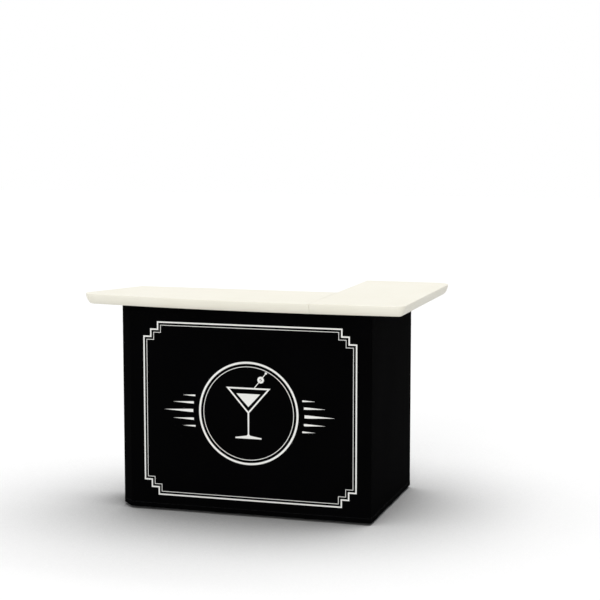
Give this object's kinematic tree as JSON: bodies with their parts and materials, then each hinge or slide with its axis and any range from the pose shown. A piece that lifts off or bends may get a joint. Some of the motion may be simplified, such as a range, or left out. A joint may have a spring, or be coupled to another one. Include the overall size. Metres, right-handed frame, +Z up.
{
  "type": "mobile bar unit",
  "caption": "L-shaped mobile serving bar: moulded two-part counter with a bowed front on a wrapped tube frame with shelves and hidden braked castors.",
  "frame": {"origin": "on the floor under the middle of the counter's bounding box", "axes": "+X along the counter towards the side arm, +Y from the guest side to the serving side, +Z up"},
  "size_m": [1.6249, 1.091, 1.067],
  "materials": {
    "counter": "satin moulded polyethylene",
    "wrap": "coated polyester cloth, printed white on black",
    "frame": "satin black powder coat",
    "shelf": "fine-grained polyethylene board",
    "castor_metal": "bright zinc plate",
    "hub": "moulded nylon",
    "tread": "matt",
    "pedal": "moulded nylon"
  },
  "bodies": {
    "frame": {"post_front_left": "frame", "post_front_right": "frame", "post_rear_left": "frame", "post_inner": "frame", "post_arm_inner": "frame", "post_arm_outer": "frame", "base_rail_front": "frame", "base_rail_left": "frame", "base_rail_right": "frame", "base_rail_rear": "frame", "base_rail_inner": "frame", "base_rail_end": "frame", "top_rail_front": "frame", "top_rail_left": "frame", "top_rail_right": "frame", "top_rail_rear": "frame", "top_rail_inner": "frame", "top_rail_end": "frame", "shelf_rails": "frame", "seam_bearer": "frame", "castor_pads": "frame", "top_pegs": "frame", "wrap_front": "wrap", "wrap_corner": "wrap", "wrap_left": "wrap", "wrap_right": "wrap", "wrap_end": "wrap", "main_shelf_low": "shelf", "main_shelf_mid": "shelf", "arm_shelf_low": "shelf", "arm_shelf_mid": "shelf", "castor_plates": "castor_metal"},
    "main_counter": {"main_top": "counter"},
    "arm_counter": {"arm_top": "counter"},
    "castor_front_left": {"fork_front_left": "castor_metal", "axle_front_left": "castor_metal"},
    "wheel_front_left": {"hub_front_left": "hub", "tread_front_left": "tread"},
    "castor_front_right": {"fork_front_right": "castor_metal", "axle_front_right": "castor_metal"},
    "wheel_front_right": {"hub_front_right": "hub", "tread_front_right": "tread"},
    "castor_rear_left": {"fork_rear_left": "castor_metal", "axle_rear_left": "castor_metal"},
    "wheel_rear_left": {"hub_rear_left": "hub", "tread_rear_left": "tread"},
    "pedal_rear_left": {"brake_rear_left": "pedal"},
    "castor_inner": {"fork_inner": "castor_metal", "axle_inner": "castor_metal"},
    "wheel_inner": {"hub_inner": "hub", "tread_inner": "tread"},
    "pedal_inner": {"brake_inner": "pedal"},
    "castor_arm_inner": {"fork_arm_inner": "castor_metal", "axle_arm_inner": "castor_metal"},
    "wheel_arm_inner": {"hub_arm_inner": "hub", "tread_arm_inner": "tread"},
    "castor_arm_outer": {"fork_arm_outer": "castor_metal", "axle_arm_outer": "castor_metal"},
    "wheel_arm_outer": {"hub_arm_outer": "hub", "tread_arm_outer": "tread"}
  },
  "joints": [
    {"name": "main_counter_lift", "type": "slide", "parent": "frame", "child": "main_counter", "axis": [0, 0, 1], "range_m": [0, 0.3]},
    {"name": "arm_counter_lift", "type": "slide", "parent": "frame", "child": "arm_counter", "axis": [0, 0, 1], "range_m": [0, 0.3]},
    {"name": "swivel_front_left", "type": "hinge", "parent": "frame", "child": "castor_front_left", "pos_m": [-0.51267, -0.32939, 0.07], "axis": [0, 0, 1], "continuous": true},
    {"name": "roll_front_left", "type": "hinge", "parent": "castor_front_left", "child": "wheel_front_left", "pos_m": [-0.51267, -0.30539, 0.03], "axis": [1, 0, 0], "continuous": true},
    {"name": "swivel_front_right", "type": "hinge", "parent": "frame", "child": "castor_front_right", "pos_m": [0.56439, -0.32939, 0.07], "axis": [0, 0, 1], "continuous": true},
    {"name": "roll_front_right", "type": "hinge", "parent": "castor_front_right", "child": "wheel_front_right", "pos_m": [0.56439, -0.30539, 0.03], "axis": [1, 0, 0], "continuous": true},
    {"name": "swivel_rear_left", "type": "hinge", "parent": "frame", "child": "castor_rear_left", "pos_m": [-0.57522, -0.13561, 0.07], "axis": [0, 0, 1], "continuous": true},
    {"name": "roll_rear_left", "type": "hinge", "parent": "castor_rear_left", "child": "wheel_rear_left", "pos_m": [-0.57522, -0.11161, 0.03], "axis": [1, 0, 0], "continuous": true},
    {"name": "brake_rear_left", "type": "hinge", "parent": "castor_rear_left", "child": "pedal_rear_left", "pos_m": [-0.57522, -0.11561, 0.066], "axis": [-1, 0, 0], "range_deg": [0, 6]},
    {"name": "swivel_inner", "type": "hinge", "parent": "frame", "child": "castor_inner", "pos_m": [0.3365, -0.13561, 0.07], "axis": [0, 0, 1], "continuous": true},
    {"name": "roll_inner", "type": "hinge", "parent": "castor_inner", "child": "wheel_inner", "pos_m": [0.3365, -0.11161, 0.03], "axis": [1, 0, 0], "continuous": true},
    {"name": "brake_inner", "type": "hinge", "parent": "castor_inner", "child": "pedal_inner", "pos_m": [0.3365, -0.11561, 0.066], "axis": [-1, 0, 0], "range_deg": [0, 6]},
    {"name": "swivel_arm_inner", "type": "hinge", "parent": "frame", "child": "castor_arm_inner", "pos_m": [0.45061, 0.37039, 0.07], "axis": [0, 0, 1], "continuous": true},
    {"name": "roll_arm_inner", "type": "hinge", "parent": "castor_arm_inner", "child": "wheel_arm_inner", "pos_m": [0.45061, 0.39439, 0.03], "axis": [1, 0, 0], "continuous": true},
    {"name": "swivel_arm_outer", "type": "hinge", "parent": "frame", "child": "castor_arm_outer", "pos_m": [0.56439, 0.37039, 0.07], "axis": [0, 0, 1], "continuous": true},
    {"name": "roll_arm_outer", "type": "hinge", "parent": "castor_arm_outer", "child": "wheel_arm_outer", "pos_m": [0.56439, 0.39439, 0.03], "axis": [1, 0, 0], "continuous": true}
  ]
}
